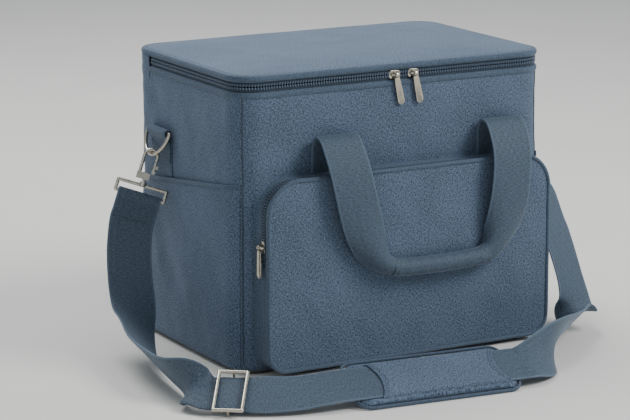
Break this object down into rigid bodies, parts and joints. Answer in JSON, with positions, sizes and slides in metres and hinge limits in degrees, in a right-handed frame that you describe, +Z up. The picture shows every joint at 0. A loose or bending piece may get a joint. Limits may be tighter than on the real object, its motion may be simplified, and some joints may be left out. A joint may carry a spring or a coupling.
{
  "type": "insulated cooler bag",
  "caption": "Soft box-shaped cooler bag with a zipped lid, zipped front pocket, side pockets, carry handles and a clip-on shoulder strap.",
  "frame": {"origin": "middle of the base, on the surface the bag stands on", "axes": "+Z up, the front pocket faces -Y, +X to the right seen from the front"},
  "size_m": [0.5848, 0.4953, 0.33],
  "materials": {
    "cover": "woven polyester, matte",
    "trim": "bound fabric trim",
    "webbing": "woven webbing",
    "zip": "moulded coil and woven tape",
    "nickel": "nickel plated zinc, satin",
    "foil": "foil laminate",
    "foam": "closed-cell foam",
    "board": "pressed stiffener board"
  },
  "bodies": {
    "bag": {"outer_shell": "cover", "wall_foam": "foam", "floor_foam": "foam", "base_board": "board", "foil_liner": "foil", "rim_binding": "trim", "rim_piping": "trim", "body_zip_tape": "zip", "body_zip_coil": "zip", "hinge_strip_lower": "cover", "pocket_gusset": "cover", "pocket_panel_lower": "cover", "pocket_piping_lower": "trim", "pocket_zip_coil_rear": "zip", "side_pocket_left": "cover", "side_pocket_right": "cover", "ring_tab_left": "trim", "ring_tab_right": "trim", "front_handle_anchors": "webbing", "rear_handle_anchors": "webbing", "strap_left_leg": "webbing", "strap_front_run": "webbing", "strap_right_leg": "webbing"},
    "lid": {"lid_cover": "cover", "lid_foam": "foam", "lid_liner": "foil", "lid_piping": "trim", "lid_zip_tape": "zip", "lid_zip_coil": "zip", "hinge_strip_upper": "cover"},
    "pocket_flap": {"pocket_panel_upper": "cover", "pocket_piping_upper": "trim", "pocket_zip_coil_front": "zip"},
    "front_handle": {"front_handle_webbing": "webbing", "front_handle_grip": "webbing"},
    "rear_handle": {"rear_handle_webbing": "webbing", "rear_handle_grip": "webbing"},
    "slide_adjuster": {"slide_adjuster": "nickel"},
    "shoulder_pad": {"shoulder_pad": "cover", "pad_sleeve": "cover"},
    "main_slider_left": {"main_slider_left": "nickel"},
    "main_pull_left": {"main_pull_left": "nickel"},
    "pocket_slider_left": {"pocket_slider_left": "nickel"},
    "pocket_pull_left": {"pocket_pull_left": "nickel"},
    "strap_ring_left": {"strap_ring_left": "nickel"},
    "snap_hook_left": {"snap_hook_left": "nickel"},
    "hook_gate_left": {"hook_gate_left": "nickel"},
    "strap_end_left": {"wire_loop_left": "nickel", "strap_end_left": "webbing"},
    "main_slider_right": {"main_slider_right": "nickel"},
    "main_pull_right": {"main_pull_right": "nickel"},
    "pocket_slider_right": {"pocket_slider_right": "nickel"},
    "pocket_pull_right": {"pocket_pull_right": "nickel"},
    "strap_ring_right": {"strap_ring_right": "nickel"},
    "snap_hook_right": {"snap_hook_right": "nickel"},
    "hook_gate_right": {"hook_gate_right": "nickel"},
    "strap_end_right": {"wire_loop_right": "nickel", "strap_end_right": "webbing"}
  },
  "joints": [
    {"name": "lid_hinge", "type": "hinge", "parent": "bag", "child": "lid", "pos_m": [0, 0.1286, 0.311], "axis": [-1, 0, 0], "range_deg": [0, 110]},
    {"name": "pocket_flap_hinge", "type": "hinge", "parent": "bag", "child": "pocket_flap", "pos_m": [0, -0.156, 0.125], "axis": [1, 0, 0], "range_deg": [0, 6]},
    {"name": "front_handle_hinge", "type": "hinge", "parent": "bag", "child": "front_handle", "pos_m": [0, -0.141, 0.257], "axis": [-1, 0, 0], "range_deg": [0, 120]},
    {"name": "rear_handle_hinge", "type": "hinge", "parent": "bag", "child": "rear_handle", "pos_m": [0, 0.141, 0.257], "axis": [-1, 0, 0], "range_deg": [-120, 0]},
    {"name": "main_zip_left", "type": "slide", "parent": "bag", "child": "main_slider_left", "axis": [1, 0, 0], "range_m": [-0.14, 0]},
    {"name": "main_zip_right", "type": "slide", "parent": "bag", "child": "main_slider_right", "axis": [1, 0, 0], "range_m": [0, 0.115]},
    {"name": "main_pull_left_swing", "type": "hinge", "parent": "main_slider_left", "child": "main_pull_left", "pos_m": [-0.003, -0.1314, 0.317], "axis": [-1, 0, 0], "range_deg": [0, 150]},
    {"name": "main_pull_right_swing", "type": "hinge", "parent": "main_slider_right", "child": "main_pull_right", "pos_m": [0.021, -0.1314, 0.317], "axis": [-1, 0, 0], "range_deg": [0, 150]},
    {"name": "pocket_zip_left", "type": "slide", "parent": "bag", "child": "pocket_slider_left", "axis": [0, 0, 1], "range_m": [-0.012, 0.022]},
    {"name": "pocket_zip_right", "type": "slide", "parent": "bag", "child": "pocket_slider_right", "axis": [0, 0, 1], "range_m": [-0.012, 0.022]},
    {"name": "pocket_pull_left_swing", "type": "hinge", "parent": "pocket_slider_left", "child": "pocket_pull_left", "pos_m": [-0.1794, -0.142, 0.146], "axis": [0, 1, 0], "range_deg": [0, 150]},
    {"name": "pocket_pull_right_swing", "type": "hinge", "parent": "pocket_slider_right", "child": "pocket_pull_right", "pos_m": [0.1894, -0.142, 0.146], "axis": [0, -1, 0], "range_deg": [0, 150]},
    {"name": "strap_end_left_swing", "type": "hinge", "parent": "bag", "child": "strap_end_left", "pos_m": [-0.203, 0.051, 0.243], "axis": [0, 1, 0], "range_deg": [0, 25]},
    {"name": "strap_ring_left_swing", "type": "hinge", "parent": "bag", "child": "strap_ring_left", "pos_m": [-0.203, 0.051, 0.243], "axis": [0, 1, 0], "range_deg": [0, 25]},
    {"name": "snap_hook_left_swivel", "type": "hinge", "parent": "strap_end_left", "child": "snap_hook_left", "pos_m": [-0.22539, 0.04577, 0.18758], "axis": [0.3732, 0.0872, 0.9237], "range_deg": [-4, 4]},
    {"name": "hook_gate_left_spring", "type": "hinge", "parent": "snap_hook_left", "child": "hook_gate_left", "pos_m": [-0.21434, 0.04328, 0.19742], "axis": [0.421, 0.8713, -0.2523], "range_deg": [0, 24], "stiffness_Nm_per_rad": 0.02},
    {"name": "strap_end_right_swing", "type": "hinge", "parent": "bag", "child": "strap_end_right", "pos_m": [0.203, 0.051, 0.243], "axis": [0, -1, 0], "range_deg": [0, 25]},
    {"name": "strap_ring_right_swing", "type": "hinge", "parent": "bag", "child": "strap_ring_right", "pos_m": [0.203, 0.051, 0.243], "axis": [0, -1, 0], "range_deg": [0, 25]},
    {"name": "snap_hook_right_swivel", "type": "hinge", "parent": "strap_end_right", "child": "snap_hook_right", "pos_m": [0.22727, 0.01573, 0.20096], "axis": [-0.4045, 0.5878, 0.7006], "range_deg": [-4, 4]},
    {"name": "hook_gate_right_spring", "type": "hinge", "parent": "snap_hook_right", "child": "hook_gate_right", "pos_m": [0.21546, 0.01981, 0.20928], "axis": [-0.2713, 0.6545, -0.7057], "range_deg": [0, 24], "stiffness_Nm_per_rad": 0.02},
    {"name": "adjuster_slide", "type": "slide", "parent": "bag", "child": "slide_adjuster", "axis": [0.809, -0.5878, 0], "range_m": [-0.003, 0.003]},
    {"name": "shoulder_pad_slide", "type": "slide", "parent": "bag", "child": "shoulder_pad", "axis": [0.9956, -0.0941, 0], "range_m": [-0.005, 0.005]}
  ],
  "couplings": [
    {"joint": "strap_ring_left_swing", "follows": "strap_end_left_swing", "ratio": 1},
    {"joint": "strap_ring_right_swing", "follows": "strap_end_right_swing", "ratio": 1}
  ]
}
